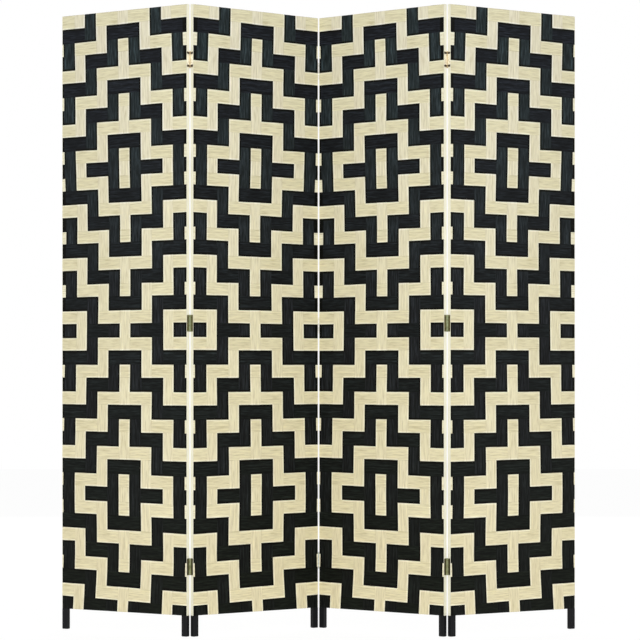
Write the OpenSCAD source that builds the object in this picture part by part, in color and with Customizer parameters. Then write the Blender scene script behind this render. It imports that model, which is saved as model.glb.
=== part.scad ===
// Woven wood folding screen: four panels joined in a zigzag by butt hinges.
// Each panel is a post-and-rail frame, dressed on both faces with one mat of thin wood strips.
// Upright warps bend over and under straight wefts in a pointed twill. They hang over the top
// rail, and a thin band covers the side of the post and the cut ends of the wefts.
// X runs along the screen, Y to its back and Z up. The origin is on the floor at its middle.

/* [Panels] */
// Width of one panel, over its edge bands
panel_w = 450; // [320:1:600]
// Height of the screen, from the floor to the top of the mats
panel_h = 1800; // [1300:1:2100]
// Length of leg below the mats
leg_h = 60; // [35:1:140]
// Turn of an outer panel out of the line of the screen, in degrees
outer_turn = 32.8; // [5:0.1:60]
// Turn of an inner panel out of the line of the screen, in degrees
inner_turn = 38; // [5:0.1:60]

/* [Frame] */
// Width of a post and its leg, seen from the front
post_w = 18; // [16:0.5:32]
// Thickness of the rails and of the posts above the legs, front to back
frame_t = 10; // [8:0.5:20]
// Height of a rail
rail_h = 30; // [24:1:50]
// Rails between the bottom rail and the top rail
middle_rail_count = 3; // [1:1:6]
// Rounding of a foot, on all four sides
foot_round = 2.5; // [0.5:0.5:3.5]
// Thickness of the band along a side edge
band_t = 0.4; // [0.3:0.1:2]
// Rounding of a band's top corners
band_round = 2; // [0.5:0.5:4]
// Diameter of a dowel
dowel_d = 5; // [3:0.5:6]
// Distance between the two dowels of a rail end
dowel_pitch = 14; // [9:1:16]
// Depth that a dowel goes into a post
dowel_in_post = 12; // [6:1:14]
// Depth that a dowel goes into a rail
dowel_in_rail = 18; // [8:1:40]

/* [Mats] */
// Width of a strip
strip_w = 38.6; // [25:0.1:60]
// Thickness of a strip
strip_t = 0.45; // [0.3:0.05:0.7]
// Gap between neighbouring strips, where a warp slopes from one face of the wefts to the other
strip_gap = 1; // [0.8:0.1:2]
// Least distance from an outer warp to the panel's edge
warp_margin = 4; // [2:0.5:12]
// Strips that a float passes over
float_count = 2; // [1:1:3]
// Rows from one point of the twill to the next
twill_row_count = 12; // [4:1:24]

/* [Hinges] */
// Height of a hinge
hinge_h = 47.5; // [36:0.5:70]
// Height of the lowest hinge's middle above the floor
hinge_low_z = 199; // [120:1:400]
// Height of the middle hinge's middle above the floor
hinge_mid_z = 892; // [600:1:1050]
// Distance of the top hinge's middle below the top of the screen
hinge_top_drop = 157; // [60:1:300]
// Thickness of a leaf
leaf_t = 0.8; // [0.7:0.05:0.9]
// Distance from a leaf's free edge to the panel face beside it
leaf_margin = 1.5; // [0.5:0.5:3]
// Rounding of a leaf's free corners
leaf_round = 2; // [0.5:0.5:3]
// Diameter of a knuckle
knuckle_d = 3.2; // [2.6:0.1:3.4]
// Distance of the hinge pin behind the panel face
pin_off = 1.7; // [1.6:0.1:4]
// Distance of the hinge pin from the panel edge
pin_gap = 1; // [1:0.05:1.4]
// Diameter of a hinge pin
pin_d = 1.8; // [1.2:0.1:2]
// Diameter of a hinge pin's head
pin_head_d = 2.6; // [2.2:0.1:3.2]
// Height of a hinge pin's head
pin_head_h = 0.8; // [0.6:0.1:2]
// Distance between the two screws of a leaf
screw_pitch = 33; // [20:1:40]
// Length of a screw
screw_len = 15; // [8:1:17]
// Diameter of a screw's shank
screw_d = 2.4; // [2.4:0.1:3]
// Diameter of a screw's countersunk head
screw_head_d = 3.8; // [3.2:0.1:4]

/* [Fits] */
// Clearance where one piece seats on another or in its hole
fit_gap = 0.05; // [0.02:0.01:0.08]
// End play between two knuckles
knuckle_gap = 0.3; // [0.2:0.05:0.6]
// Room for a knuckle in the other leaf's notch
notch_room = 0.3; // [0.2:0.05:0.5]
// Room past the end of a dowel or screw in its hole
hole_end_room = 0.5; // [0.3:0.1:1]

/* [Hidden] */
panel_count = 4;
PANELS = [for (p = [1:panel_count]) p];
SEAMS = [for (s = [1:panel_count - 1]) s];
FRONT = "front";
BACK = "back";
LEFT = "left";
RIGHT = "right";
function sign_of(side) = side == FRONT || side == LEFT ? -1 : 1;
panel_parts = ["left_post", "right_post", "top_rail", "bottom_rail", "middle_rails", "dowels",
    "edge_bands", "dark_warps", "pale_warps", "dark_wefts", "pale_wefts"];
seam_parts = ["left_leaves", "right_leaves", "pins", "left_screws", "right_screws"];

dark_stain = [0.15, 0.16, 0.17];
black_paint = [0.13, 0.13, 0.14];
pale_wood = [0.85, 0.82, 0.69];
raw_wood = [0.79, 0.67, 0.48];
band_wood = [0.89, 0.88, 0.81];
aged_brass = [0.50, 0.45, 0.30];
brass = [0.72, 0.60, 0.36];

round_fn = 48;
cut_through = 1;

// A mat has three levels, each with its clearance: warps that pass under, wefts, warps that pass over
mat_t = 3 * (strip_t + fit_gap);
panel_t = frame_t + 2 * mat_t;
under_v = frame_t / 2 + fit_gap;
weft_v = under_v + strip_t + fit_gap;
over_v = weft_v + strip_t + fit_gap;

pitch = strip_w + strip_gap;
warp_count = floor((panel_w - 2 * warp_margin) / pitch);
warp_from = (panel_w - warp_count * pitch) / 2;
// The frame and the top row end just under the fold of the warps
frame_top = panel_h - strip_t - fit_gap;
// The bottom row takes what is left. It is a row of its own if it is more than this part of one.
least_row = 0.2;
row_count = ceil((frame_top - leg_h) / pitch - least_row);

rail_len = panel_w - 2 * post_w;
bottom_rail_z = leg_h + rail_h / 2;
top_rail_z = frame_top - rail_h / 2;
middle_rail_z = [for (i = [1:middle_rail_count])
    bottom_rail_z + (top_rail_z - bottom_rail_z) * i / (middle_rail_count + 1)];
rail_z = concat([bottom_rail_z], middle_rail_z, [top_rail_z]);
dowel_z = [for (z = rail_z) for (side = [-1, 1]) z + side * dowel_pitch / 2];

hinge_z = [hinge_low_z, hinge_mid_z, panel_h - hinge_top_drop];
pin_v = panel_t / 2 + pin_off;
leaf_w = pin_off + panel_t - leaf_margin;
knuckle_count = 5;
knuckle_h = (hinge_h - (knuckle_count - 1) * knuckle_gap) / knuckle_count;
screw_head_h = (screw_head_d - screw_d) / 2;
screw_z = [for (z = hinge_z) for (side = [-1, 1]) z + side * screw_pitch / 2];

// Plan of the zigzag: how each panel turns, and where each panel and pin stands
function turn(p) =
    let (outer = p == 1 || p == panel_count, rearward = p % 2 == 0)
    (rearward ? 1 : -1) * (outer ? outer_turn : inner_turn);
function along(p) = [cos(turn(p)), sin(turn(p))];
function backward(p) = [-sin(turn(p)), cos(turn(p))];
// The pins of the near seams stand behind the panels, and the far seam's in front of them
function pin_side(s) = s % 2 == 0 ? FRONT : BACK;
function pin_depth(s) = sign_of(pin_side(s)) * pin_v;
function corner_at(p) = p <= 1 ? [0, 0]
    : pin_at(p - 1) + pin_gap * along(p) - pin_depth(p - 1) * backward(p);
function pin_at(s) = corner_at(s) + (panel_w + pin_gap) * along(s) + pin_depth(s) * backward(s);
plan_corners = [for (p = PANELS) for (u = [0, panel_w]) for (v = [-panel_t / 2, panel_t / 2])
    corner_at(p) + u * along(p) + v * backward(p)];
plan_x = [for (corner = plan_corners) corner.x];
plan_y = [for (corner = plan_corners) corner.y];
plan_middle = [(min(plan_x) + max(plan_x)) / 2, (min(plan_y) + max(plan_y)) / 2];

// Weave: whether the weft is on top where row r, counted from the top, crosses column c
function column_step(c) = min(c, warp_count - 1 - c);
function row_step(r) = twill_row_count - 1 - abs((r + 1) % (2 * twill_row_count) - twill_row_count);
function weft_over(r, c) =
    let (cycle = 2 * float_count, step = (row_step(r) - column_step(c)) % cycle)
    (step < 0 ? step + cycle : step) < float_count;
function row_edge(r) = r == row_count ? leg_h : frame_top + strip_gap / 2 - r * pitch;
function is_dark_row(r) = r % 2 == 1;
function is_dark_column(c) = c % 2 == 0;

// Line of a warp's inner face, from the bottom up: flat over each row, with a short slope in the
// gap between rows where it changes level. edges bound the rows and levels[i] is the level at row i.
function slopes(edges, levels) =
    [for (i = [1:len(levels) - 1]) if (levels[i] != levels[i - 1]) each
        [[edges[i] - strip_gap / 2, levels[i - 1]], [edges[i] + strip_gap / 2, levels[i]]]];

module place_panel(p) {
    translate([corner_at(p).x - plan_middle.x, corner_at(p).y - plan_middle.y, 0])
        rotate([0, 0, turn(p)])
        children();
}

// Extrudes a drawing of depth and height along the panel
module across_panel(width) {
    rotate([90, 0, 90]) linear_extrude(width) children();
}

// Upright bar with two rounded corners: at its bottom, or turned over, at its top
module round_footed(width, height, radius) {
    translate([-width / 2, radius]) square([width, height - radius]);
    translate([radius - width / 2, 0]) square([width - 2 * radius, radius]);
    for (side = [-1, 1])
        translate([side * (width / 2 - radius), radius]) circle(radius, $fn = round_fn);
}

// Hole along the panel, into the edge face at u, for a dowel or screw
module edge_hole(u, z, diameter, depth) {
    translate([u, 0, z])
        rotate([0, 90, 0])
        cylinder(d = diameter + 2 * fit_gap, h = 2 * depth, center = true, $fn = round_fn);
}

// Leg of the panel's full thickness, rounded at its foot. The mats and a band stand on it.
module leg(outer_u, inner_u) {
    intersection() {
        translate([(outer_u + inner_u) / 2, panel_t / 2, 0])
            rotate([90, 0, 0])
            linear_extrude(panel_t)
            round_footed(post_w, leg_h, foot_round);
        translate([min(outer_u, inner_u), 0, 0])
            across_panel(post_w)
            round_footed(panel_t, leg_h, foot_round);
    }
}

// Post at the left or right side of a panel, in one piece with its leg. It stands back from the
// leg on three sides, to make room for the mats and a band, and is drilled for hinge screws.
module post(p, side) {
    outer_u = side == LEFT ? 0 : panel_w;
    inner_u = outer_u - sign_of(side) * post_w;
    covered_u = outer_u - sign_of(side) * band_t;
    has_hinges = side == LEFT ? p > 1 : p < panel_count;
    color(black_paint)
        place_panel(p)
        difference() {
            union() {
                leg(outer_u, inner_u);
                translate([min(covered_u, inner_u), -frame_t / 2, foot_round])
                    cube([post_w - band_t, frame_t, frame_top - foot_round]);
            }
            for (z = dowel_z) edge_hole(inner_u, z, dowel_d, dowel_in_post + hole_end_room);
            if (has_hinges)
                for (z = screw_z) edge_hole(covered_u, z, screw_d, screw_len - band_t);
        }
}

module rail(z) {
    difference() {
        translate([post_w, -frame_t / 2, z - rail_h / 2]) cube([rail_len, frame_t, rail_h]);
        for (u = [post_w, post_w + rail_len])
            for (side = [-1, 1])
                edge_hole(u, z + side * dowel_pitch / 2, dowel_d, dowel_in_rail + hole_end_room);
    }
}

module top_rail(p) {
    color(raw_wood) place_panel(p) rail(top_rail_z);
}

module bottom_rail(p) {
    color(raw_wood) place_panel(p) rail(bottom_rail_z);
}

module middle_rails(p) {
    color(raw_wood) place_panel(p) for (z = middle_rail_z) rail(z);
}

// Two dowels join each rail end to its post
module dowels(p) {
    color(raw_wood)
        place_panel(p)
        for (u = [post_w - dowel_in_post, panel_w - post_w - dowel_in_rail])
            for (z = dowel_z)
                translate([u, 0, z])
                    rotate([0, 90, 0])
                    cylinder(d = dowel_d, h = dowel_in_post + dowel_in_rail, $fn = round_fn);
}

// Bands over the posts and the cut ends of the wefts, with the hinge leaves screwed on them
module edge_bands(p) {
    color(band_wood)
        place_panel(p)
        for (side = [LEFT, RIGHT]) {
            has_hinges = side == LEFT ? p > 1 : p < panel_count;
            difference() {
                translate([side == LEFT ? 0 : panel_w - band_t, 0, panel_h])
                    mirror([0, 0, 1])
                    across_panel(band_t)
                    round_footed(panel_t, panel_h - leg_h, band_round);
                if (has_hinges)
                    for (z = screw_z)
                        edge_hole(side == LEFT ? 0 : panel_w, z, screw_d, band_t + cut_through);
            }
        }
}

// Warp of column c: one strip up the front, over the top rail and down the back
module warp(c) {
    edges = [for (r = [row_count:-1:0]) row_edge(r)];
    levels = [for (r = [row_count - 1:-1:0]) weft_over(r, c) ? under_v : over_v];
    fold_z = panel_h - strip_t;
    fold_v = levels[row_count - 1];
    inner = concat([[leg_h, levels[0]]], slopes(edges, levels), [[fold_z, fold_v]]);
    flat_outer = [for (i = [0:len(inner) - 2]) [inner[i].x, inner[i].y + strip_t]];
    fold_outer = [for (a = [0:30:90]) [fold_z + strip_t * sin(a), fold_v + strip_t * cos(a)]];
    outer = concat(flat_outer, fold_outer);
    outline = concat(
        [for (point = inner) [-point.y, point.x]],
        [for (i = [len(inner) - 1:-1:0]) [inner[i].y, inner[i].x]],
        [for (point = outer) [point.y, point.x]],
        [for (i = [len(outer) - 1:-1:0]) [-outer[i].y, outer[i].x]]);
    translate([warp_from + c * pitch + strip_gap / 2, 0, 0])
        across_panel(strip_w)
        polygon(outline);
}

module dark_warps(p) {
    color(dark_stain) place_panel(p) for (c = [0:warp_count - 1]) if (is_dark_column(c)) warp(c);
}

module pale_warps(p) {
    color(pale_wood) place_panel(p) for (c = [0:warp_count - 1]) if (!is_dark_column(c)) warp(c);
}

// Weft of row r on one face, from band to band
module weft(r, side) {
    top = row_edge(r) - strip_gap / 2;
    bottom = r == row_count - 1 ? leg_h : row_edge(r + 1) + strip_gap / 2;
    translate([band_t, side == FRONT ? -weft_v - strip_t : weft_v, bottom])
        cube([panel_w - 2 * band_t, strip_t, top - bottom]);
}

module dark_wefts(p) {
    color(dark_stain)
        place_panel(p)
        for (r = [0:row_count - 1]) if (is_dark_row(r)) for (side = [FRONT, BACK]) weft(r, side);
}

module pale_wefts(p) {
    color(pale_wood)
        place_panel(p)
        for (r = [0:row_count - 1]) if (!is_dark_row(r)) for (side = [FRONT, BACK]) weft(r, side);
}

// Puts hinge parts at a seam, with the pin axis on Z, the panel towards -X and its face towards -Y
module place_hinges(s, side) {
    place_panel(side == LEFT ? s : s + 1)
        for (z = hinge_z)
            translate([side == LEFT ? panel_w + pin_gap : -pin_gap, pin_depth(s), z - hinge_h / 2])
            mirror([side == LEFT ? 0 : 1, 0, 0])
            mirror([0, pin_side(s) == BACK ? 0 : 1, 0])
            children();
}

function knuckle_z(k) = k * (knuckle_h + knuckle_gap);

// Leaf with every second knuckle, from the first one given
module leaf(first_knuckle) {
    difference() {
        union() {
            translate([-pin_gap, 0, 0])
                rotate([90, 0, 90])
                linear_extrude(leaf_t)
                leaf_outline();
            for (k = [first_knuckle:2:knuckle_count - 1])
                translate([0, 0, knuckle_z(k)])
                    cylinder(d = knuckle_d, h = knuckle_h, $fn = round_fn);
        }
        translate([0, 0, -cut_through])
            cylinder(d = pin_d + 2 * fit_gap, h = hinge_h + 2 * cut_through, $fn = round_fn);
        for (k = [1 - first_knuckle:2:knuckle_count - 1])
            translate([0, 0, knuckle_z(k) - knuckle_gap])
                cylinder(d = knuckle_d + 2 * notch_room, h = knuckle_h + 2 * knuckle_gap, $fn = round_fn);
        for (z = [-1, 1])
            translate([-pin_gap, -pin_v, hinge_h / 2 + z * screw_pitch / 2])
                rotate([0, 90, 0])
                screw_shape(fit_gap);
    }
}

module leaf_outline() {
    translate([leaf_round - leaf_w, 0]) square([leaf_w - leaf_round, hinge_h]);
    translate([-leaf_w, leaf_round]) square([leaf_round, hinge_h - 2 * leaf_round]);
    for (z = [leaf_round, hinge_h - leaf_round])
        translate([leaf_round - leaf_w, z]) circle(leaf_round, $fn = round_fn);
}

// Countersunk screw along Z: its head fills the leaf from z = 0 up and its shank goes down.
// room widens it on all sides, which makes the hole that it sits in.
module screw_shape(room) {
    point_h = screw_d / 2;
    translate([0, 0, leaf_t - screw_head_h])
        cylinder(d1 = screw_d + 2 * room, d2 = screw_head_d + 2 * room, h = screw_head_h, $fn = round_fn);
    translate([0, 0, point_h + leaf_t - screw_len])
        cylinder(d = screw_d + 2 * room, h = screw_len - screw_head_h - point_h, $fn = round_fn);
    translate([0, 0, leaf_t - screw_len])
        cylinder(d1 = 0, d2 = screw_d + 2 * room, h = point_h, $fn = round_fn);
}

module left_leaves(s) {
    color(aged_brass) place_hinges(s, LEFT) leaf(0);
}

module right_leaves(s) {
    color(aged_brass) place_hinges(s, RIGHT) leaf(1);
}

// Pin through all knuckles, with a head seated on the knuckle at each end
module pins(s) {
    color(brass)
        place_hinges(s, LEFT) {
            cylinder(d = pin_d, h = hinge_h, $fn = round_fn);
            for (z = [-pin_head_h, hinge_h])
                translate([0, 0, z]) cylinder(d = pin_head_d, h = pin_head_h, $fn = round_fn);
        }
}

module screws(s, side) {
    color(brass)
        place_hinges(s, side)
        for (z = [-1, 1])
            translate([-pin_gap, -pin_v, hinge_h / 2 + z * screw_pitch / 2])
                rotate([0, 90, 0])
                screw_shape(0);
}

for (p = PANELS) {
    post(p, LEFT);
    post(p, RIGHT);
    top_rail(p);
    bottom_rail(p);
    middle_rails(p);
    dowels(p);
    edge_bands(p);
    dark_warps(p);
    pale_warps(p);
    dark_wefts(p);
    pale_wefts(p);
}
for (s = SEAMS) {
    left_leaves(s);
    right_leaves(s);
    pins(s);
    screws(s, LEFT);
    screws(s, RIGHT);
}
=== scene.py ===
# %% [markdown]
# # A woven wood folding screen
# Four panels stand in a zigzag. Each one is a slim black frame, covered on both faces by a mat
# of flat black and cream wood strips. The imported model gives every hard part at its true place:
# posts, rails, bands and hinges. This script gives those parts their finish, and weaves new
# mats whose strips are slightly domed, bent at each crossing and never quite straight.

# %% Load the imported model
import math

import bpy
import numpy as np
from mathutils import Matrix, Vector


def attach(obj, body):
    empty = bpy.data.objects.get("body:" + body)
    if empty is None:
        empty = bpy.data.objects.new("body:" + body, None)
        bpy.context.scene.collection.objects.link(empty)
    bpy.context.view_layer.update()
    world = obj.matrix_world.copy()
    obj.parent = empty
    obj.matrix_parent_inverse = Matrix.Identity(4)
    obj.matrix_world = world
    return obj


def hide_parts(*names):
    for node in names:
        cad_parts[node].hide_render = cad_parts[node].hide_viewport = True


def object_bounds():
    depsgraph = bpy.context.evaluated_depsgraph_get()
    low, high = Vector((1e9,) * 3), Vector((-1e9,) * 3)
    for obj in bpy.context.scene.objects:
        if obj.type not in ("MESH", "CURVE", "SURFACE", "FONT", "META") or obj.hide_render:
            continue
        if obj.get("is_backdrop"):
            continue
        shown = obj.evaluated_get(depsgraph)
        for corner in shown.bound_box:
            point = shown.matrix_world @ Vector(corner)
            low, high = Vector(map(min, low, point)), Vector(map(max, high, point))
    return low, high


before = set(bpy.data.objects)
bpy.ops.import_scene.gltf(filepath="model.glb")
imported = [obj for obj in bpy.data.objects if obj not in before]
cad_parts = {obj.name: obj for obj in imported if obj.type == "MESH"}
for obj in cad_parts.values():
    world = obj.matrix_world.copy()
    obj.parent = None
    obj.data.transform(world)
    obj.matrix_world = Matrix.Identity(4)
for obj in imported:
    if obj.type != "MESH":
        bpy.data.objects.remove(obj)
cad_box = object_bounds()
MM = 0.001


def rounded(values):
    """Numbers cut short for printing."""
    return tuple(round(float(value), 4) for value in values)


print("model box:", [rounded(corner) for corner in cad_box])

# %% [markdown]
# ## The camera
# The photograph was taken from far away with a long lens, level with the lower half of the
# screen, so upright lines stay upright. A level camera with a vertical shift does the same.

# %% Place the camera
CAMERA_DISTANCE = 7.321
CAMERA_HEIGHT = 0.7034
LENS = 141.99
SHIFT_X = 0.0022
SHIFT_Y = 0.1086
SIGHT_LIMIT = 60

bpy.ops.object.select_all(action="DESELECT")
bpy.ops.object.camera_add(location=(0, -CAMERA_DISTANCE, CAMERA_HEIGHT), rotation=(math.radians(90), 0, 0))
camera = bpy.context.object
camera.data.lens = LENS
camera.data.shift_x = SHIFT_X
camera.data.shift_y = SHIFT_Y
camera.data.clip_end = SIGHT_LIMIT
bpy.context.scene.camera = camera
print("camera at", rounded(camera.location), "lens", LENS)

# %% [markdown]
# ## Where the panels stand
# All pieces of a panel are easiest to make on a flat panel that starts at the origin and runs
# along X. So the plan of the zigzag is worked out first: each panel starts where the hinge pin
# of the seam before it puts it. A pin stands a small gap past the panel's end and a little off
# its face, behind the panels at the two near seams and in front of them at the far one. The
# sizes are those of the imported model.

# %% Plan of the zigzag
PANEL_W = 450 * MM
PANEL_H = 1800 * MM
PANEL_T = 13 * MM
LEG_H = 60 * MM
BAND_T = 0.4 * MM
PIN_GAP = 1.0 * MM
PIN_OFF = 1.7 * MM
TURN = {1: -32.8, 2: 38.0, 3: -38.0, 4: 32.8}
PANELS = sorted(TURN)
SEAMS = (1, 2, 3)
FAR_SEAM = 2


def along(panel):
    """Direction of a panel, from its left end to its right end."""
    angle = math.radians(TURN[panel])
    return Vector((math.cos(angle), math.sin(angle), 0))


def backward(panel):
    """Direction from a panel's front to its back."""
    angle = math.radians(TURN[panel])
    return Vector((-math.sin(angle), math.cos(angle), 0))


def plan():
    """Start of each panel and place of each seam's pins, with the screen's middle at the origin."""
    starts, pins = {1: Vector((0, 0, 0))}, {}
    for seam in SEAMS:
        behind = (-1 if seam == FAR_SEAM else 1) * (PANEL_T / 2 + PIN_OFF)
        pins[seam] = starts[seam] + (PANEL_W + PIN_GAP) * along(seam) + behind * backward(seam)
        starts[seam + 1] = pins[seam] + PIN_GAP * along(seam + 1) - behind * backward(seam + 1)
    corners = [starts[p] + u * along(p) + v * backward(p)
               for p in PANELS for u in (0, PANEL_W) for v in (-PANEL_T / 2, PANEL_T / 2)]
    spans = [[corner[axis] for corner in corners] for axis in (0, 1)]
    middle = Vector([(min(span) + max(span)) / 2 for span in spans] + [0])
    return {p: start - middle for p, start in starts.items()}, {s: pin - middle for s, pin in pins.items()}


panel_start, pin_at = plan()
print("panels start at", {panel: rounded(start) for panel, start in panel_start.items()})

# %% [markdown]
# ## The weaving rule
# The mat is a pointed twill. On each row the weft floats over two warps and under two, and each
# row moves the floats one column on. The move turns back at the middle column and at every
# twelfth row, which draws the diamonds. Even rows are cream and odd rows black; for the warps
# it is the other way round.

# %% Which strip is on top
STRIP_PITCH = 39.6 * MM
WARPS = 11
ROWS = 44
FLOAT = 2
TWILL_TURN = 12
TOP_MARGIN = 0.5 * MM
MAT_TOP = PANEL_H - TOP_MARGIN
FIRST_WARP = (PANEL_W - WARPS * STRIP_PITCH) / 2


def weft_on_top(row, column):
    """Whether the weft shows where a row and a column cross."""
    column_step = min(column, WARPS - 1 - column)
    row_step = TWILL_TURN - 1 - abs((row + 1) % (2 * TWILL_TURN) - TWILL_TURN)
    return (row_step - column_step) % (2 * FLOAT) < FLOAT


wefts_seen = sum(weft_on_top(row, column) for row in range(ROWS) for column in range(WARPS))
print("crossings with the weft on top:", wefts_seen, "of", ROWS * WARPS)

# %% [markdown]
# ## How the strips have settled
# In the photograph the warps have drifted sideways, most at two thirds of the height and more at
# the far side of a panel than at the near side. The wefts have risen a little below the middle
# and sunk near the floor. So the drift is given in millimetres for every 200 mm of height, at
# both sides of a panel, and is smooth between. These values and the bow of the middle warps
# weren't chosen by hand. Another program fitted them, by least squares, to the lines between the
# strips in the photograph, so they describe this one screen and not its design.

# %% Drift of the strips
DRIFT_STEP = 0.2
DRIFT_REACH = 0.15
DRIFT_WEIGHT = 0.752
WARP_FAR = (-14.5, 0.5, -3.5, 0.3, 3.5, 6.6, 9.3, 0.4, 0.5, -4.0)
WARP_NEAR = (-8.2, 3.0, -1.5, 0.1, 1.1, -0.3, -0.6, -2.7, -2.2, -10.9)
WEFT_FAR = (-3.7, 3.9, 9.3, 9.2, 7.1, 3.8, 0.4, -1.8, -1.6, -2.4)
WEFT_NEAR = (-15.1, -5.2, 2.5, 5.6, 5.6, 3.6, 1.7, -0.4, 0.8, 2.3)
WARP_BOW = 2.7


def drift(height, share, far, near):
    """Drift at a height, at a share of the way from the far side to the near side. Every value
    counts most at its own height, and together their weights come to about one."""
    total = 0
    for step, (at_far, at_near) in enumerate(zip(far, near)):
        weight = DRIFT_WEIGHT * np.exp(-((height - step * DRIFT_STEP) / DRIFT_REACH) ** 2)
        total = total + weight * (at_far * (1 - share) + at_near * share)
    return total * MM


def warp_drift(height, column):
    """Sideways drift of a warp, towards the near seam. The middle warps have bowed a little more."""
    share = column / (WARPS - 1)
    return drift(height, share, WARP_FAR, WARP_NEAR) + WARP_BOW * 4 * share * (1 - share) * MM


def weft_drift(height, place):
    """Upward drift of a weft, at a distance from the far side of the panel."""
    return drift(height, place / PANEL_W, WEFT_FAR, WEFT_NEAR)


for height in (0.4, 0.8, 1.2, 1.6):
    sides = [warp_drift(height, column) / MM for column in (0, WARPS - 1)]
    print("at", height, "m the outer warps have moved by", rounded(sides), "mm")

# %% [markdown]
# ## Lines between the strips
# The mat is drawn by the lines between its strips. Each line has the drift, and a small slip
# and two small waves of its own. Every strip follows these lines, so a warp still bends exactly
# in the gap between two wefts. The black strips are slightly wider than the cream ones.

# %% Draw the lines
DARK_EXTRA = 1.1 * MM
WARP_MARGIN = 1.4 * MM
SLIP = 0.2
LONG_WAVE, LONG_SWAY = 0.34, 0.22
SHORT_WAVE, SHORT_SWAY = 0.13, 0.14
settle = np.random.default_rng(23)
COLUMN_SLIP, ROW_SLIP = (settle.normal(0, SLIP, count + 1) * MM for count in (WARPS, ROWS))
COLUMN_PHASE, ROW_PHASE = (settle.uniform(0, math.tau, (2, count + 1)) for count in (WARPS, ROWS))


def wave(place, long_phase, short_phase):
    """Two small waves of a line along its strips."""
    long_part = LONG_SWAY * np.sin(math.tau * place / LONG_WAVE + long_phase)
    short_part = SHORT_SWAY * np.sin(math.tau * place / SHORT_WAVE + short_phase)
    return MM * (long_part + short_part)


def dark_shift(edge):
    """How far a line moves into the cream strip beside it, so that the black one is wider."""
    return np.where(edge % 2 == 1, DARK_EXTRA, -DARK_EXTRA)


def column_edge(edge, height):
    """Distance from the panel's far side to the line between two warps. It stops short of the bands."""
    place = FIRST_WARP + edge * STRIP_PITCH + dark_shift(edge) + COLUMN_SLIP[edge]
    settled = place + warp_drift(height, edge - 0.5) + wave(height, *COLUMN_PHASE[:, edge])
    return np.clip(settled, WARP_MARGIN, PANEL_W - WARP_MARGIN)


def row_edge(edge, place):
    """Height of the line between two wefts. The outer lines are straight."""
    height = MAT_TOP - edge * STRIP_PITCH
    settled = height + dark_shift(edge) + ROW_SLIP[edge]
    settled = settled + weft_drift(height, place) + wave(place, *ROW_PHASE[:, edge])
    return np.where(edge == 0, MAT_TOP, np.where(edge == ROWS, LEG_H, settled))


for edge in (1, 22, 43):
    print("row line", edge, "stands at", rounded([row_edge(edge, place) for place in (0, PANEL_W)]))

# %% [markdown]
# ## One flat strip
# Every strip is a thin slat of veneer. It could be a box, but a box has sharp edges and cannot
# bend. So one strip is made from a grid with a column of points for each place where it may
# bend, extruded once for its thickness. Its underside needs no lines along it, so they are
# dissolved. All other strips are copies of this one, laid along their own path.

# %% Model the strip that all others are copied from
RIM = 0.31
SHOULDER = 0.94
ACROSS = (-1, -SHOULDER, RIM - 1, 0, 1 - RIM, SHOULDER, 1)
HALF_CELL = 0.5


def make_flat_strip(columns):
    """A strip one unit thick, whose grid has cells of one unit by one."""
    half_length, half_width = (columns - 1) / 2, (len(ACROSS) - 1) / 2
    bpy.ops.object.select_all(action="DESELECT")
    bpy.ops.mesh.primitive_grid_add(x_subdivisions=columns - 1, y_subdivisions=len(ACROSS) - 1, size=2)
    strip = bpy.context.object
    strip.scale = (half_length, half_width, 1)
    bpy.ops.object.transform_apply(location=False, rotation=False, scale=True)
    bpy.ops.object.mode_set(mode="EDIT")
    bpy.ops.mesh.select_all(action="SELECT")
    bpy.ops.mesh.extrude_region_move(TRANSFORM_OT_translate={"value": (0, 0, 1)})
    bpy.ops.mesh.select_all(action="SELECT")
    bpy.ops.mesh.normals_make_consistent(inside=False)
    bpy.ops.mesh.select_all(action="DESELECT")
    bpy.ops.mesh.select_mode(type="EDGE")
    bpy.ops.object.mode_set(mode="OBJECT")
    mesh = strip.data
    for edge in mesh.edges:
        ends = [mesh.vertices[i].co for i in edge.vertices]
        is_low = all(end.z < HALF_CELL for end in ends)
        is_inner = all(abs(end.y) < half_width - HALF_CELL for end in ends)
        runs_along = abs(ends[0].x - ends[1].x) > HALF_CELL
        edge.select = is_low and is_inner and runs_along
    bpy.ops.object.mode_set(mode="EDIT")
    bpy.ops.mesh.dissolve_edges(use_verts=True)
    bpy.ops.object.mode_set(mode="OBJECT")
    return strip


def strip_grid(strip):
    """Column, place across and side (1 is the outer side) of each point of a flat strip."""
    points = np.array([vertex.co[:] for vertex in strip.data.vertices])
    column = np.rint(points[:, 0] - points[:, 0].min()).astype(int)
    place = np.rint(points[:, 1] - points[:, 1].min()).astype(int)
    return column, np.array(ACROSS)[place], np.rint(points[:, 2])


test_strip = make_flat_strip(columns=6)
print("test strip:", len(test_strip.data.vertices), "points,", len(test_strip.data.polygons), "faces")
bpy.data.objects.remove(test_strip)

# %% [markdown]
# ## The path of a strip
# Where two strips cross, one lies a little more than half a strip's thickness above the middle
# of the mat and the other as much below it. A strip changes level in the narrow gap between two
# neighbours, so it never cuts through them. Between crossings it is domed a little, as stiff
# veneer is. A path has five points in each cell, at shares of the cell's length.

# %% Levels along a weft and along a warp
MAT_MIDDLE = 5.775 * MM
HALF_STEP = 0.25 * MM
GAP = 0.4 * MM
SWELL = 0.07 * MM
STRIP_THICK = 0.42 * MM
PARTS = np.array([0, 0.15, 0.5, 0.85, 1])


def cell_path(edges, over):
    """Places and heights of the inner face of a strip, cell by cell."""
    places, heights = [], []
    for i, is_over in enumerate(over):
        low, high = edges[i] + GAP / 2, edges[i + 1] - GAP / 2
        level, swell = (HALF_STEP, -SWELL) if is_over else (-HALF_STEP, SWELL)
        before = 0 if i > 0 and over[i - 1] == is_over else 1
        after = 0 if i < len(over) - 1 and over[i + 1] == is_over else 1
        places.append(low + (high - low) * PARTS)
        heights.append(level + swell * np.array([before, before / 2, 0, after / 2, after]))
    return np.concatenate(places), np.concatenate(heights)


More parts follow.
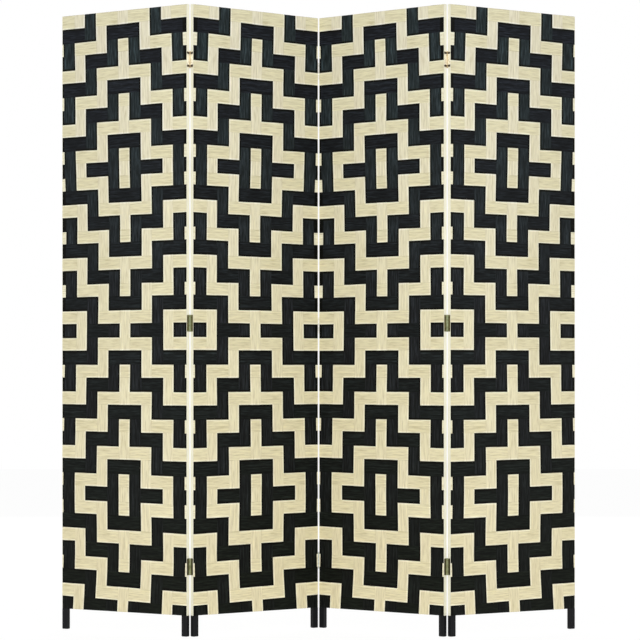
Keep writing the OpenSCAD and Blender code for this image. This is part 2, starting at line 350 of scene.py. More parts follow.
def is_covered(over):
    """1 at each point of a path that another strip covers."""
    return np.repeat([0.0 if is_over else 1.0 for is_over in over], len(PARTS))


test_row, test_height = 5, 1.0
test_edges = column_edge(np.arange(WARPS + 1), test_height)
places, heights = cell_path(test_edges, [weft_on_top(test_row, column) for column in range(WARPS)])
lowest, highest = rounded([heights.min() / MM, heights.max() / MM])
print("a weft has", len(places), "points, from", lowest, "to", highest, "mm off the mat's middle")

# %% [markdown]
# ## Where the colours touch
# Where a black strip and a cream one touch, the cream gets a painted highlight along its edge and
# the black a painted shadow line. So each point of a path also notes whether it borders on the
# other colour. On the short ends of the wefts beside the bands this painted rim fades slowly,
# over the whole end.

# %% Rims beside the other colour
END_RIM = 0.9
END_FADE = 0.6
UP, DOWN, NEXT, LAST = (-1, 0), (1, 0), (0, 1), (0, -1)


def shows_black(row, column):
    """Colour seen at a crossing. Past the outer warps it is the weft's, and past that the cream band's."""
    if 0 <= column < WARPS and not weft_on_top(row, column):
        return column % 2 == 0
    return row % 2 == 1 and -1 <= column <= WARPS


def meets_other(row, column, row_step, column_step):
    """1 where a crossing borders on one of the other colour."""
    other = row + row_step
    return float(0 <= other < ROWS and shows_black(row, column) != shows_black(other, column + column_step))


def rims(cells, low_step, high_step, before_step, after_step):
    """For each point of a path: rim on the low side, on the high side and across the strip's end."""
    low = np.repeat([meets_other(*cell, *low_step) for cell in cells], len(PARTS))
    high = np.repeat([meets_other(*cell, *high_step) for cell in cells], len(PARTS))
    ends = []
    for row, column in cells:
        spread = END_RIM if column in (-1, WARPS) else 0.0
        at_start = np.maximum(PARTS == 0, spread * (1 - END_FADE * PARTS))
        at_end = np.maximum(PARTS == 1, spread * (1 - END_FADE + END_FADE * PARTS))
        before = meets_other(row, column, *before_step) * at_start
        after = meets_other(row, column, *after_step) * at_end
        ends.append(np.maximum(before, after))
    return np.stack([low, high, np.concatenate(ends)])


black_seen = sum(shows_black(row, column) for row in range(ROWS) for column in range(WARPS))
print("crossings that show black:", black_seen, "of", ROWS * WARPS)

# %% [markdown]
# ## Laying strips
# A strip is laid by moving each point of its copy: the column says where along the path it goes,
# the place across says how far to the side, and the outer side is lifted by the thickness. The
# edges are thinner than the middle, which rounds them. A UV map carries the length along the
# strip in metres and the strip's own number, so that the finish can follow the grain and give
# each strip a slightly different tone.

# %% Helpers that lay one strip and join many
DOME = ((0, 1.05), (1 - RIM, 0.9), (SHOULDER, 0.9), (1, 0.55))
MARK_SPREAD = 0.48


def dome(across):
    """Thickness across a strip: full in the middle, rounded off at the edges."""
    return STRIP_THICK * np.interp(np.abs(across), *zip(*DOME))


class StripMaker:
    """Copies one flat strip along many paths and joins the copies into one piece."""

    def __init__(self, columns):
        self.flat = make_flat_strip(columns)
        self.column, self.across, self.side = strip_grid(self.flat)
        self.faces = [tuple(face.vertices) for face in self.flat.data.polygons]
        self.points, self.polygons, self.marks, self.hints = [], [], [], []

    def lay(self, base, outward, sideways, half_width, length, covered, rim, number):
        """Lay one copy. Each array has an entry for every column of the strip, and rim has three."""
        lift = (self.side * dome(self.across))[:, None]
        points = base[self.column] + outward[self.column] * lift
        points += sideways[self.column] * (self.across * half_width[self.column])[:, None]
        first = sum(len(part) for part in self.points)
        self.points.append(points)
        self.polygons += [tuple(first + i for i in face) for face in self.faces]
        self.marks.append(np.stack([length[self.column], number + 0.5 + MARK_SPREAD * self.across], axis=1))
        # Rim: where the painted highlight on cream or the painted shadow line on black goes.
        low, high, ends = rim[:, self.column]
        near_edge = np.clip((np.abs(self.across) - 1 + RIM) / RIM, 0, 1)
        beside = np.where(self.across < 0, low, high) * near_edge
        self.hints.append(np.stack([covered[self.column], np.maximum(beside, ends)]))

    def join(self, name):
        """Make one object of all the copies, with their UV map and their notes for the finish."""
        mesh = bpy.data.meshes.new(name)
        mesh.from_pydata(np.concatenate(self.points).tolist(), [], self.polygons)
        corner_point = np.empty(len(mesh.loops), dtype=int)
        mesh.loops.foreach_get("vertex_index", corner_point)
        marks = np.concatenate(self.marks)[corner_point].astype(np.float32)
        mesh.uv_layers.new(name="along_strip").data.foreach_set("uv", marks.ravel())
        for hint, values in zip(("covered", "rim"), np.concatenate(self.hints, axis=1)):
            mesh.attributes.new(hint, "FLOAT", "POINT").data.foreach_set("value", values.astype(np.float32))
        piece = bpy.data.objects.new(name, mesh)
        bpy.context.collection.objects.link(piece)
        bpy.data.objects.remove(self.flat)
        return piece


print("thickness across a strip:", rounded(dome(np.array(ACROSS)) / MM), "mm")

# %% [markdown]
# ## The wefts
# The level strips run from band to band. The mat of one flat panel is made first, on the front
# and on the back. At each line between two warps a weft's cross line leans as that line does; at
# the bands it stands upright. Past the outer warps a weft lies low, and nothing covers it.

# %% Weave the wefts of one flat panel
WEFT_ENDS = (BAND_T - GAP / 2, PANEL_W - BAND_T + GAP / 2)


def weft_lines(row):
    """Where a weft meets the bands and the lines between the warps, and how these lean."""
    lines = np.arange(WARPS + 1)
    middle = (row_edge(row, PANEL_W / 2) + row_edge(row + 1, PANEL_W / 2)) / 2
    crossings = column_edge(lines, middle)
    high, low = row_edge(row, crossings), row_edge(row + 1, crossings)
    at_high, at_low = column_edge(lines, high), column_edge(lines, low)
    leans = (at_high - at_low) / (high - low)
    return np.array([WEFT_ENDS[0], *(at_high + at_low) / 2, WEFT_ENDS[1]]), np.array([0, *leans, 0])


def lay_weft(maker, row, face):
    """Lay one weft, on the front where face is -1 and on the back where it is 1."""
    edges, leans = weft_lines(row)
    over = [weft_on_top(row, column) for column in range(WARPS)]
    places, heights = cell_path(edges, [False, *over, False])
    depth = MAT_MIDDLE - STRIP_THICK / 2 + heights
    top = row_edge(row, places) - GAP / 2
    bottom = row_edge(row + 1, places) + (GAP / 2 if row < ROWS - 1 else 0)
    lean, none = np.interp(places, edges, leans), np.zeros(len(places))
    base = np.column_stack([places, face * depth, (top + bottom) / 2])
    outward = np.tile([0, face, 0], (len(places), 1))
    sideways = np.column_stack([-face * lean, none, none - face])
    low_step, high_step = (DOWN, UP) if face < 0 else (UP, DOWN)
    rim = rims([(row, column) for column in range(-1, WARPS + 1)], low_step, high_step, LAST, NEXT)
    covered, number = is_covered([True, *over, True]), 2 * row + (face + 1) // 2
    maker.lay(base, outward, sideways, (top - bottom) / 2, places, covered, rim, number)


def weave_wefts(rows, name):
    """Every weft of one colour, on both faces."""
    maker = StripMaker(len(PARTS) * (WARPS + 2))
    for face in (-1, 1):
        for row in rows:
            lay_weft(maker, row, face)
    return maker.join(name)


flat_mats = {"dark_wefts": weave_wefts(range(1, ROWS, 2), "flat_dark_wefts"),
             "pale_wefts": weave_wefts(range(0, ROWS, 2), "flat_pale_wefts")}
print({kind: len(piece.data.polygons) for kind, piece in flat_mats.items()}, "faces")

# %% [markdown]
# ## The warps
# Each upright strip is one length: up the front, over the top rail in a small round fold, and
# down the back. It bends in the gaps between the wefts and leans with them.

# %% Weave the warps of one flat panel
FOLD_ROUND = 1.2 * MM
FOLD_STEPS = 4
FOLD_SLACK = 0.06 * MM
FIRST_WARP_NUMBER = 200


def fold_over(depth):
    """Path and outward directions of a warp where it turns over the top rail."""
    base, outward = [], []
    top = PANEL_H - STRIP_THICK - FOLD_SLACK
    angles = [math.radians(90 / FOLD_STEPS * step) for step in range(FOLD_STEPS + 1)]
    for side, turns in ((-1, angles), (1, reversed(angles))):
        for angle in turns:
            y = side * (depth - FOLD_ROUND + FOLD_ROUND * math.cos(angle))
            base.append((y, top - FOLD_ROUND + FOLD_ROUND * math.sin(angle)))
            outward.append((side * math.cos(angle), math.sin(angle)))
    return base, outward


def warp_path(edges, over):
    """Path of a warp as depth and height, its outward directions, and its points in the fold."""
    places, heights = cell_path(edges, over)
    depth = MAT_MIDDLE - STRIP_THICK / 2 + heights
    fold, fold_out = fold_over(depth[-1])
    up, down = np.column_stack([-depth, places]), np.column_stack([depth, places])[::-1]
    path = np.concatenate([up, fold, down])
    facing = np.concatenate([np.tile((-1, 0), (len(up), 1)), fold_out, np.tile((1, 0), (len(down), 1))])
    return path, facing, len(fold)


def lay_warp(maker, column):
    """Lay one warp from the foot of the front to the foot of the back."""
    lines, rows = np.arange(ROWS, 0, -1), range(ROWS - 1, -1, -1)
    middle, half_pitch = FIRST_WARP + (column + 0.5) * STRIP_PITCH, STRIP_PITCH / 2
    edges = np.append(row_edge(lines, middle), PANEL_H - STRIP_THICK - FOLD_ROUND)
    over = [not weft_on_top(row, column) for row in rows]
    path, facing, fold_count = warp_path(edges, over)
    left, right = column_edge(column, path[:, 1]), column_edge(column + 1, path[:, 1])
    rise = row_edge(lines, middle + half_pitch) - row_edge(lines, middle - half_pitch)
    lean = np.interp(path[:, 1], edges, np.append(rise / STRIP_PITCH, 0.0))
    none = np.zeros(len(path))
    base = np.column_stack([(left + right) / 2, path])
    outward, sideways = np.column_stack([none, facing]), np.column_stack([none + 1, none, lean])
    length = np.concatenate([[0], np.cumsum(np.hypot(*np.diff(path, axis=0).T))])
    covered = is_covered(over)
    covered = np.concatenate([covered, np.zeros(fold_count), covered[::-1]])
    rim = rims([(row, column) for row in rows], LAST, NEXT, DOWN, UP)
    rim = np.concatenate([rim, np.tile(rim[:, -2:-1], fold_count), rim[:, ::-1]], axis=1)
    number = FIRST_WARP_NUMBER + column
    maker.lay(base, outward, sideways, (right - left - GAP) / 2, length, covered, rim, number)


def weave_warps(columns, name):
    """Every warp of one colour."""
    maker = StripMaker(2 * (len(PARTS) * ROWS + FOLD_STEPS + 1))
    for column in columns:
        lay_warp(maker, column)
    return maker.join(name)


flat_mats["dark_warps"] = weave_warps(range(0, WARPS, 2), "flat_dark_warps")
flat_mats["pale_warps"] = weave_warps(range(1, WARPS, 2), "flat_pale_warps")
print({kind: len(piece.data.polygons) for kind, piece in flat_mats.items()}, "faces")

# %% [markdown]
# ## Four panels from one
# The pattern of a panel is the same left and right of its middle, and the drift of the warps
# runs towards the near seam. So panels 1 and 3 take the mat as it is and panels 2 and 4 take
# its mirror image. A mirror turns the faces inside out, so there they are flipped back. Each
# copy has its own mesh, moved to its place, and rides on its panel.

# %% Copy the mats to the panels
MIRRORED = (2, 4)
SMOOTH_ANGLE = 28


def dress(flat, panel, kind):
    """Copy a flat mat to a panel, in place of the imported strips."""
    node = f"panel_{panel}_{kind}"
    piece = flat.copy()
    piece.data = flat.data.copy()
    piece.name = f"woven_{node}"
    bpy.context.collection.objects.link(piece)
    place = Matrix.Translation(panel_start[panel]) @ Matrix.Rotation(math.radians(TURN[panel]), 4, "Z")
    if panel in MIRRORED:
        place = place @ Matrix.Translation((PANEL_W, 0, 0)) @ Matrix.Scale(-1, 4, (1, 0, 0))
    piece.data.transform(place)
    if panel in MIRRORED:
        piece.data.flip_normals()
    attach(piece, f"panel_{panel}")
    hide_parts(node)
    return piece


mats = {(panel, kind): dress(flat, panel, kind) for panel in PANELS for kind, flat in flat_mats.items()}
for flat in flat_mats.values():
    bpy.data.objects.remove(flat)
for piece in mats.values():
    bpy.ops.object.select_all(action="DESELECT")
    piece.select_set(True)
    bpy.context.view_layer.objects.active = piece
    bpy.ops.object.shade_smooth_by_angle(angle=math.radians(SMOOTH_ANGLE))
print("pieces:", len(mats), "faces:", sum(len(piece.data.polygons) for piece in mats.values()))

# %% [markdown]
# ## Tools for the finishes
# A finish is a small network of nodes. These helpers add a node, set its values and link it, so
# that each finish below reads like a recipe.

# %% Node helpers
WHITE, BLACK = (1, 1, 1), (0, 0, 0)


def new_finish(name, roughness, base, metallic=0.0):
    """A new material with its plain values, and its shader."""
    finish = bpy.data.materials.new(name)
    finish.use_nodes = True
    shader = finish.node_tree.nodes["Principled BSDF"]
    shader.inputs["Base Color"].default_value = (*base, 1)
    shader.inputs["Roughness"].default_value = roughness
    shader.inputs["Metallic"].default_value = metallic
    finish.diffuse_color = (*base, 1)
    return finish, shader


def add_node(owner, kind, inputs=None, **settings):
    """Add a node to a material or a world. An input is set to a value or linked to another node."""
    node = owner.node_tree.nodes.new(kind)
    for key, value in settings.items():
        setattr(node, key, value)
    for socket, value in (inputs or {}).items():
        if isinstance(value, bpy.types.NodeSocket):
            owner.node_tree.links.new(value, node.inputs[socket])
        else:
            node.inputs[socket].default_value = value
    return node


def math_node(owner, operation, first, second=0.0):
    return add_node(owner, "ShaderNodeMath", {0: first, 1: second}, operation=operation).outputs[0]


def vector_node(finish, operation, first, second=(0, 0, 0)):
    return add_node(finish, "ShaderNodeVectorMath", {0: first, 1: second}, operation=operation)


def object_place(finish):
    return add_node(finish, "ShaderNodeTexCoord").outputs["Object"]


print("node helpers ready")

# %% [markdown]
# ## Recipes that the finishes share
# Most finishes need the same few steps. A ramp turns a value into colours, a mix lays one colour
# over another, and noise gives the grain and the clouds. A bump node makes the same pattern
# catch the light.

# %% Ramps, mixes, noise and relief
def ramp(finish, value, positions, colours):
    """Colours that follow a value between 0 and 1."""
    node = add_node(finish, "ShaderNodeValToRGB", {"Fac": value})
    elements = node.color_ramp.elements
    while len(elements) < len(positions):
        elements.new(0.5)
    for element, position, colour in zip(elements, positions, colours):
        element.position = position
        element.color = (*colour, 1)
    return node.outputs["Color"]


def mix(finish, factor, first, second, blend="MIX"):
    """Mix two colours. On this node they are inputs 6 and 7, and the result is output 2."""
    first, second = [(*colour, 1) if isinstance(colour, tuple) else colour for colour in (first, second)]
    inputs = {0: factor, 6: first, 7: second}
    return add_node(finish, "ShaderNodeMix", inputs, data_type="RGBA", blend_type=blend).outputs[2]


def multiply(finish, colour, tint):
    return mix(finish, 1.0, colour, tint, "MULTIPLY")


def noise(finish, place, stretch, detail, roughness=0.5):
    """Noise that is finer along an axis with a larger stretch."""
    scaled = vector_node(finish, "MULTIPLY", place, stretch)
    settings = {"Vector": scaled.outputs[0], "Scale": 1.0, "Detail": detail, "Roughness": roughness}
    return add_node(finish, "ShaderNodeTexNoise", settings).outputs["Fac"]


def set_surface(finish, shader, colour, relief, strength, distance):
    """Give a shader its colour, and fine bumps that follow a pattern."""
    bump = add_node(finish, "ShaderNodeBump", {"Height": relief, "Strength": strength, "Distance": distance})
    finish.node_tree.links.new(colour, shader.inputs["Base Color"])
    finish.node_tree.links.new(bump.outputs[0], shader.inputs["Normal"])


print("recipes:", [recipe.__name__ for recipe in (ramp, mix, multiply, noise, set_surface)])

# %% [markdown]
# ## Wood of the strips
# The cream strips are plain sliced wood: straight grain, soft tone changes and a few brown
# flecks. The UV map gives the grain its direction, and its second value holds the strip's
# number, which makes every strip a different board. Four noises of different stretch do the
# rest: clouds, streaks, fine fibres and specks.

# %% Bare wood
CLOUDS = {"stretch": (7.0, 1.6, 7.3), "detail": 2.0}
STREAKS = {"stretch": (28.0, 11.0, 3.1), "detail": 3.0, "roughness": 0.6}
FIBRES = {"stretch": (9.0, 34.0, 5.9), "detail": 4.0, "roughness": 0.6}
SPECKS = {"stretch": (34.0, 44.0, 5.7), "detail": 2.0}
WOOD_NOISES = (CLOUDS, STREAKS, FIBRES, SPECKS)
BOARD_SHARE = 0.4
TONE_STOPS, GRAIN_STOPS = (0.2, 0.5, 0.8), (0.28, 0.5, 0.72)
SPECK_STOPS, RARE_STOPS = (0.64, 0.73), (0.50, 0.66)


def board_places(finish, seed):
    """A chance value for each board, and a point with the length, the place across and the board."""
    uv_map = add_node(finish, "ShaderNodeUVMap", uv_map="along_strip")
    parts = add_node(finish, "ShaderNodeSeparateXYZ", {0: uv_map.outputs[0]})
    length, number = parts.outputs["X"], parts.outputs["Y"]
    board = math_node(finish, "FLOOR", number)
    across = math_node(finish, "SUBTRACT", number, board)
    board_seed = math_node(finish, "ADD", board, float(seed))
    chance = add_node(finish, "ShaderNodeTexWhiteNoise", {"W": board_seed}, noise_dimensions="1D")
    on_board = add_node(finish, "ShaderNodeCombineXYZ", {0: length, 1: across, 2: board_seed})
    return chance.outputs["Value"], on_board.outputs[0]


def bare_wood(finish, seed, tones, grain, fleck):
    """Colour of the wood, and its streaks."""
    chance, on_board = board_places(finish, seed)
    clouds, streaks, fibres, specks = [noise(finish, on_board, **kind) for kind in WOOD_NOISES]
    by_chance = math_node(finish, "MULTIPLY", chance, BOARD_SHARE)
    by_clouds = math_node(finish, "MULTIPLY", clouds, 1 - BOARD_SHARE)
    colour = ramp(finish, math_node(finish, "ADD", by_chance, by_clouds), TONE_STOPS, tones)
    for lines in (streaks, fibres):
        colour = multiply(finish, colour, ramp(finish, lines, GRAIN_STOPS, (grain[0], WHITE, grain[1])))
    is_speck = ramp(finish, specks, SPECK_STOPS, (BLACK, WHITE))
    is_rare = ramp(finish, clouds, RARE_STOPS, (BLACK, WHITE))
    return mix(finish, multiply(finish, is_speck, is_rare), colour, fleck), streaks


print("noises for the wood:", len(WOOD_NOISES))

# %% [markdown]
# ## Finish of the strips
# Along the edges that touch a black strip the cream strips get a painted highlight, and the black
# ones a painted shadow line. Towards the top the black is painted lighter and bluish, a painted
# reflection; the cream is painted a little bluish at the top and a little lighter at the foot.
# Where a strip is covered it is darker, because little light gets in. All of this is laid over
# the bare wood as tints, which multiply its colour.

# %% Tint the wood
STRIP_ROUGHNESS = 0.55
HEIGHT_STOPS, RIM_STOPS, COVER_STOPS = (0.1, 0.5, 0.95), (0, 0.2, 0.55, 1), (0, 1)


def strip_finish(name, seed, tones, height_light_tints, fleck, grain, rim_highlight_shade_tints, covered_tint, sheen):
    """Wood of one kind of strip, with painted light and shade. Height tints: foot, middle and top."""
    finish, shader = new_finish(name, STRIP_ROUGHNESS, tones[1])
    shader.inputs["Specular IOR Level"].default_value = sheen
    colour, streaks = bare_wood(finish, seed, tones, grain, fleck)
    height = add_node(finish, "ShaderNodeSeparateXYZ", {0: object_place(finish)}).outputs["Z"]
    share = math_node(finish, "DIVIDE", height, PANEL_H)
    rim, covered = [add_node(finish, "ShaderNodeAttribute", attribute_name=hint).outputs["Fac"]
                    for hint in ("rim", "covered")]
    # Painted light: tints by height, a painted highlight or shadow line at rims, painted shade where covered.
    for value, positions, tints in ((share, HEIGHT_STOPS, height_light_tints),
                                    (rim, RIM_STOPS, (WHITE, *rim_highlight_shade_tints)),
                                    (covered, COVER_STOPS, (WHITE, covered_tint))):
        colour = multiply(finish, colour, ramp(finish, value, positions, tints))
    set_surface(finish, shader, colour, streaks, strength=0.25, distance=0.3 * MM)
    return finish


# Rim tints paint a highlight on cream edges and a shadow line on black edges beside the other colour.
cream_wood = {"grain": ((0.81, 0.78, 0.68), (1.10, 1.10, 1.06)),
              "rim_highlight_shade_tints": ((1.06, 1.07, 1.12), (1.14, 1.17, 1.29), (1.16, 1.21, 1.43)),
              "covered_tint": (0.5, 0.46, 0.38), "sheen": 0.3}
black_wood = {"grain": ((0.32, 0.34, 0.34), (2.2, 2.3, 2.4)),
              "rim_highlight_shade_tints": ((0.45, 0.42, 0.30), (0.22, 0.20, 0.10), (0.12, 0.10, 0.03)),
              "covered_tint": (0.4, 0.4, 0.4), "sheen": 0.07}
# Height tints: a painted reflection, lighter and bluish at the top; the cream's lighter foot is painted
# light.
finishes = {
    "pale_wefts": strip_finish(
        "cream_weft_wood", seed=3, **cream_wood, fleck=(0.48, 0.37, 0.18),
        tones=((0.745, 0.685, 0.45), (0.775, 0.714, 0.482), (0.80, 0.745, 0.51)),
        height_light_tints=((1.107, 1.09, 1.07), WHITE, (0.984, 1.0, 1.02))),
    "pale_warps": strip_finish(
        "cream_warp_wood", seed=8, **cream_wood, fleck=(0.52, 0.41, 0.22),
        tones=((0.78, 0.72, 0.49), (0.807, 0.748, 0.52), (0.83, 0.775, 0.55)),
        height_light_tints=((1.054, 1.027, 0.99), WHITE, (0.978, 0.993, 1.094))),
    "dark_wefts": strip_finish(
        "black_weft_wood", seed=15, **black_wood, fleck=(0.022, 0.025, 0.027),
        tones=((0.0062, 0.0075, 0.0074), (0.0075, 0.0091, 0.0091), (0.0090, 0.0109, 0.0112)),
        height_light_tints=((0.78, 0.805, 0.52), WHITE, (1.14, 1.09, 1.39))),
    "dark_warps": strip_finish(
        "black_warp_wood", seed=27, **black_wood, fleck=(0.026, 0.029, 0.032),
        tones=((0.0086, 0.0092, 0.0099), (0.0104, 0.0112, 0.0122), (0.0123, 0.0136, 0.0150)),
        height_light_tints=((0.59, 0.63, 0.47), WHITE, (1.62, 2.10, 2.05)))}
for (panel, kind), piece in mats.items():
    piece.data.materials.clear()
    piece.data.materials.append(finishes[kind])
print("strip finishes:", [finish.name for finish in finishes.values()])

# %% [markdown]
# ## Frame and bands
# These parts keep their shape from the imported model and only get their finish. The grain runs
# up the posts and bands, so their noise is stretched along Z in object coordinates. The rails
# lie level, so for them it is the other way round.

# %% Finish of the frame and the bands
UPRIGHT_GRAIN = (160.0, 160.0, 5.0)
LEVEL_GRAIN = (12.0, 12.0, 200.0)
STREAK_STOPS = (0.3, 0.5, 0.7)


def frame_wood(name, tones, roughness, stretch=UPRIGHT_GRAIN, gloss=0.5):
    """Painted or plain wood with a straight grain."""
    finish, shader = new_finish(name, roughness, tones[1])
    shader.inputs["Specular IOR Level"].default_value = gloss
    streaks = noise(finish, object_place(finish), stretch, detail=5.0, roughness=0.6)
    colour = ramp(finish, streaks, STREAK_STOPS, tones)
    set_surface(finish, shader, colour, streaks, strength=0.3, distance=0.4 * MM)
    return finish


black_paint = frame_wood("black_post_paint", roughness=0.5, gloss=0.1, tones=(
    (0.0058, 0.0063, 0.0073), (0.0088, 0.0094, 0.0107), (0.0138, 0.0144, 0.0163)))
raw_wood = frame_wood("plain_rail_wood", roughness=0.6, stretch=LEVEL_GRAIN, tones=(
    (0.46, 0.32, 0.17), (0.58, 0.42, 0.24), (0.66, 0.50, 0.31)))
band_wood = frame_wood("cream_band_wood", roughness=0.5, tones=(
    (0.82, 0.79, 0.62), (0.89, 0.87, 0.72), (0.93, 0.91, 0.78)))
wood_finish = {"post": black_paint, "bands": band_wood,
               "rail": raw_wood, "rails": raw_wood, "dowels": raw_wood}
print("frame finishes:", sorted({finish.name for finish in wood_finish.values()}))

# %% [markdown]
# ## Hinges
# On the near seams the low hinge is dark brass and the middle one greenish brass, and both get a
# paler tone on the knuckle near the pin, a painted reflection. The top hinges, which are seen
# most, are pale brass, stained brown round the screws. The hinges of the far seam are pale steel,
# painted near white on the middle and top hinges, partly a painted reflection. One recipe makes
# them all: it tells the three hinges of a seam apart by their height, and the knuckle from the
# plate by the distance from the pin.

# %% Recipe for hinge metal
KNUCKLE_R = 1.65 * MM
TOP_HINGE_Z = PANEL_H - 157 * MM
STAIN_OFF = 18.5 * MM
ABOVE_LOW, ABOVE_MIDDLE = 0.5, 1.5
IN_CM = 100.0
PIN_STOPS, STAIN_STOPS, WORN_STOPS = (0.40, 0.70), (0.36, 0.52), (0.35, 0.6)
WORN_TINTS = ((0.7, 0.68, 0.62), (1.1, 1.1, 1.1))
METAL_ROUGHNESS = 0.42
METAL_CLOUDS = {"Scale": 160.0, "Detail": 4.0}
RAGGED_EDGE = 0.3


def pin_distance(finish, place, seam):
    """Level distance from the pins of a seam."""
    from_pin = vector_node(finish, "SUBTRACT", place, tuple(pin_at[seam]))
    level = vector_node(finish, "MULTIPLY", from_pin.outputs[0], (1, 1, 0))
    return vector_node(finish, "LENGTH", level.outputs[0]).outputs["Value"]


def screw_stain(finish, height, clouds):
    """White near the screws of a top hinge, with a ragged edge."""
    from_middle = math_node(finish, "ABSOLUTE", math_node(finish, "SUBTRACT", height, TOP_HINGE_Z))
    from_screw = math_node(finish, "ABSOLUTE", math_node(finish, "SUBTRACT", from_middle, STAIN_OFF))
    in_cm = math_node(finish, "MULTIPLY", from_screw, IN_CM)
    ragged = math_node(finish, "ADD", in_cm, math_node(finish, "MULTIPLY", clouds, RAGGED_EDGE))
    return ramp(finish, ragged, STAIN_STOPS, (WHITE, BLACK))


def hinge_metal(name, seam, low_tones, middle_tones, high_tones, stain, metallic=0.5):
    """Metal in two tones, for plate and knuckle, on each hinge of a seam."""
    finish, shader = new_finish(name, METAL_ROUGHNESS, low_tones[0], metallic)
    place = object_place(finish)
    height = add_node(finish, "ShaderNodeSeparateXYZ", {0: place}).outputs["Z"]
    clouds = add_node(finish, "ShaderNodeTexNoise", {"Vector": place, **METAL_CLOUDS}).outputs["Fac"]
    distance = pin_distance(finish, place, seam)
    # On the low and middle hinges the paler tone near the pin is a painted reflection on the knuckle.
    knuckle_reflection = ramp(finish, math_node(finish, "MULTIPLY", distance, IN_CM), PIN_STOPS, (WHITE, BLACK))
    on_knuckle = math_node(finish, "LESS_THAN", distance, KNUCKLE_R)
    plate = mix(finish, screw_stain(finish, height, clouds), high_tones[0], stain)
    low, middle = mix(finish, knuckle_reflection, *low_tones), mix(finish, knuckle_reflection, *middle_tones)
    high = mix(finish, on_knuckle, plate, high_tones[1])
    colour = mix(finish, math_node(finish, "GREATER_THAN", height, ABOVE_LOW), low, middle)
    colour = mix(finish, math_node(finish, "GREATER_THAN", height, ABOVE_MIDDLE), colour, high)
    colour = multiply(finish, colour, ramp(finish, clouds, WORN_STOPS, WORN_TINTS))
    set_surface(finish, shader, colour, clouds, strength=0.2, distance=0.2 * MM)
    return finish


print("pins stand at", {seam: rounded(pin) for seam, pin in pin_at.items()})

# %% [markdown]
# ## Tones of the hinges
# Each tone is a pair, for the plate and for the knuckle. A pin has the tone of the knuckles that
# it runs through, and a screw has one tone all over. The pairs are given for the low, the middle
# and the high hinge of a seam.

# %% Make the finish of each hinge part
def both(tone):
    """The same tone for plate and knuckle."""
    return (tone, tone)


# The second, paler tone of the dark and the green brass is a painted reflection on the knuckle.
dark_brass = ((0.058, 0.050, 0.008), (0.40, 0.42, 0.25))
green_brass = ((0.16, 0.145, 0.05), (0.36, 0.39, 0.24))
pale_brass = ((0.95, 0.90, 0.76), (0.62, 0.48, 0.27))
pin_brass = [both(brass[1]) for brass in (dark_brass, green_brass, pale_brass)]
brown, deep_brown = (0.09, 0.055, 0.018), (0.03, 0.018, 0.006)
brown_screw = [both(brown)] * 3
# The near white of the far seam's steel is partly a painted reflection.
pale_steel, near_white, soft_grey = (0.66, 0.72, 0.73), (0.93, 0.92, 0.88), (0.42, 0.40, 0.35)
plate_steel = [both(pale_steel), both(near_white), both(near_white)]
grey_screw = [both(soft_grey)] * 3
metal_finish = {"leaves": {}, "pins": {}, "screws": {}}
for seam in SEAMS:
    if seam == FAR_SEAM:
        leaf = hinge_metal(f"hinge_steel_{seam}", seam, *plate_steel, near_white, metallic=0.2)
        pin = hinge_metal(f"pin_steel_{seam}", seam, *plate_steel, near_white, metallic=0.2)
        screw = hinge_metal(f"screw_steel_{seam}", seam, *grey_screw, soft_grey, metallic=0.2)
    else:
        leaf = hinge_metal(f"hinge_brass_{seam}", seam, dark_brass, green_brass, pale_brass, brown)
        pin = hinge_metal(f"pin_brass_{seam}", seam, *pin_brass, brown)
        screw = hinge_metal(f"screw_brass_{seam}", seam, *brown_screw, deep_brown)
    for kind, finish in (("leaves", leaf), ("pins", pin), ("screws", screw)):
        metal_finish[kind][seam] = finish
print("finishes for each kind of hinge part:", {kind: len(found) for kind, found in metal_finish.items()})

# %% [markdown]
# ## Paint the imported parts
# A node's name says what it is: panel or seam, its number, and last its kind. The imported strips
# get no finish, because the woven mats replace them.

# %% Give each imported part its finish
painted = 0
for name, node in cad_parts.items():
    group, number, *_, kind = name.split("_")
    finish = metal_finish[kind][int(number)] if group == "seam" else wood_finish.get(kind)
    if finish:
        for material_slot in node.material_slots:
            material_slot.material = finish
        painted += 1
print("model parts with a finish:", painted)

# %% [markdown]
# ## Floor, backdrop and light
# The photograph has the screen alone on white. The floor and the world are seen as white by the
# camera and by mirror-like reflections, and the light on the object stays plain and soft: an
# even sky of light, two wide lamps in front, a nearer one that reaches into the zigzag, and one
# behind.

# %% Lay the floor
FLOOR_SIZE = 30
FLOOR_GREY = 0.9
FLOOR_ROUGHNESS = 0.9
FLOOR_GLOW = 1.025
GLOW_SHARE = 0.93


def is_seen(owner):
    """1 for what the camera sees, itself or in a mirror-like reflection, and 0 for light on the object."""
    rays = add_node(owner, "ShaderNodeLightPath")
    return math_node(owner, "MAXIMUM", rays.outputs["Is Camera Ray"], rays.outputs["Is Glossy Ray"])


def mix_shaders(owner, factor, first, second):
    return add_node(owner, "ShaderNodeMixShader", {0: factor, 1: first.outputs[0], 2: second.outputs[0]})


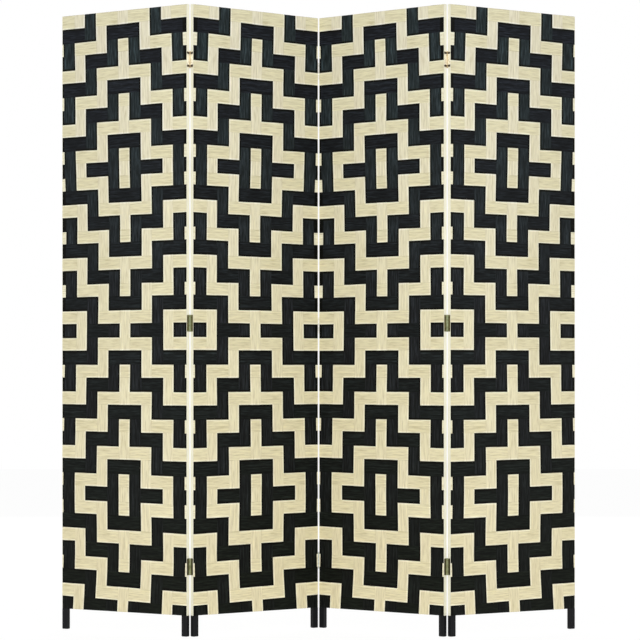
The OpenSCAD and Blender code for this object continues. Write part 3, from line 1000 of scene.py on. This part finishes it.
bpy.ops.object.select_all(action="DESELECT")
bpy.ops.mesh.primitive_plane_add(size=FLOOR_SIZE, location=(0, 0, 0))
floor = bpy.context.object
floor.name = "studio_floor"
floor_finish, floor_shader = new_finish("white_floor", FLOOR_ROUGHNESS, (FLOOR_GREY, FLOOR_GREY, FLOOR_GREY))
glow = add_node(floor_finish, "ShaderNodeEmission", {"Color": (1, 1, 1, 1), "Strength": FLOOR_GLOW})
share = math_node(floor_finish, "MULTIPLY", is_seen(floor_finish), GLOW_SHARE)
floor_mix = mix_shaders(floor_finish, share, floor_shader, glow)
floor_output = floor_finish.node_tree.nodes["Material Output"]
floor_finish.node_tree.links.new(floor_mix.outputs[0], floor_output.inputs["Surface"])
floor.data.materials.append(floor_finish)
floor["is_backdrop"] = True
print("floor glow", FLOOR_GLOW, "with a share of", GLOW_SHARE)

# %% Light the sky
SKY_LIGHT = 0.36
SKY_WHITE = 1.0

world = bpy.data.worlds.new("studio")
bpy.context.scene.world = world
world.use_nodes = True
world.node_tree.nodes.clear()
sky_light, sky_white = [add_node(world, "ShaderNodeBackground", {"Color": (1, 1, 1, 1), "Strength": strength})
                        for strength in (SKY_LIGHT, SKY_WHITE)]
sky = mix_shaders(world, is_seen(world), sky_light, sky_white)
add_node(world, "ShaderNodeOutputWorld", {"Surface": sky.outputs[0]})
print("light of the sky", SKY_LIGHT, "and as it is seen", SKY_WHITE)

# %% Hang the lamps
LAMP_AIM = Vector((0, 0, 0.9))
LAMPS = {"left_lamp": {"location": (-4.5, -4.6, 2.2), "size": 3.0, "energy": 90},
         "right_lamp": {"location": (4.5, -4.6, 2.2), "size": 3.0, "energy": 90},
         "middle_lamp": {"location": (0, -3.2, 1.1), "size": 1.6, "energy": 30},
         "back_lamp": {"location": (0, 6.0, 2.6), "size": 4.0, "energy": 215}}
for name, values in LAMPS.items():
    bpy.ops.object.light_add(type="AREA", location=values["location"])
    lamp = bpy.context.object
    lamp.name = name
    lamp.data.size = values["size"]
    lamp.data.energy = values["energy"]
    lamp.rotation_euler = (LAMP_AIM - lamp.location).to_track_quat("-Z", "Y").to_euler()
    print(name, "energy", lamp.data.energy)
bpy.context.scene.view_settings.view_transform = "Standard"

# %% [markdown]
# ## Last measurements
# The box of the imported model and the box of the dressed screen are printed. The dressed
# screen must not be larger than the imported model.

# %% Print the sizes and finish
visual_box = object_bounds()
print("model box", [rounded(corner) for corner in cad_box])
print("dressed box", [rounded(corner) for corner in visual_box])
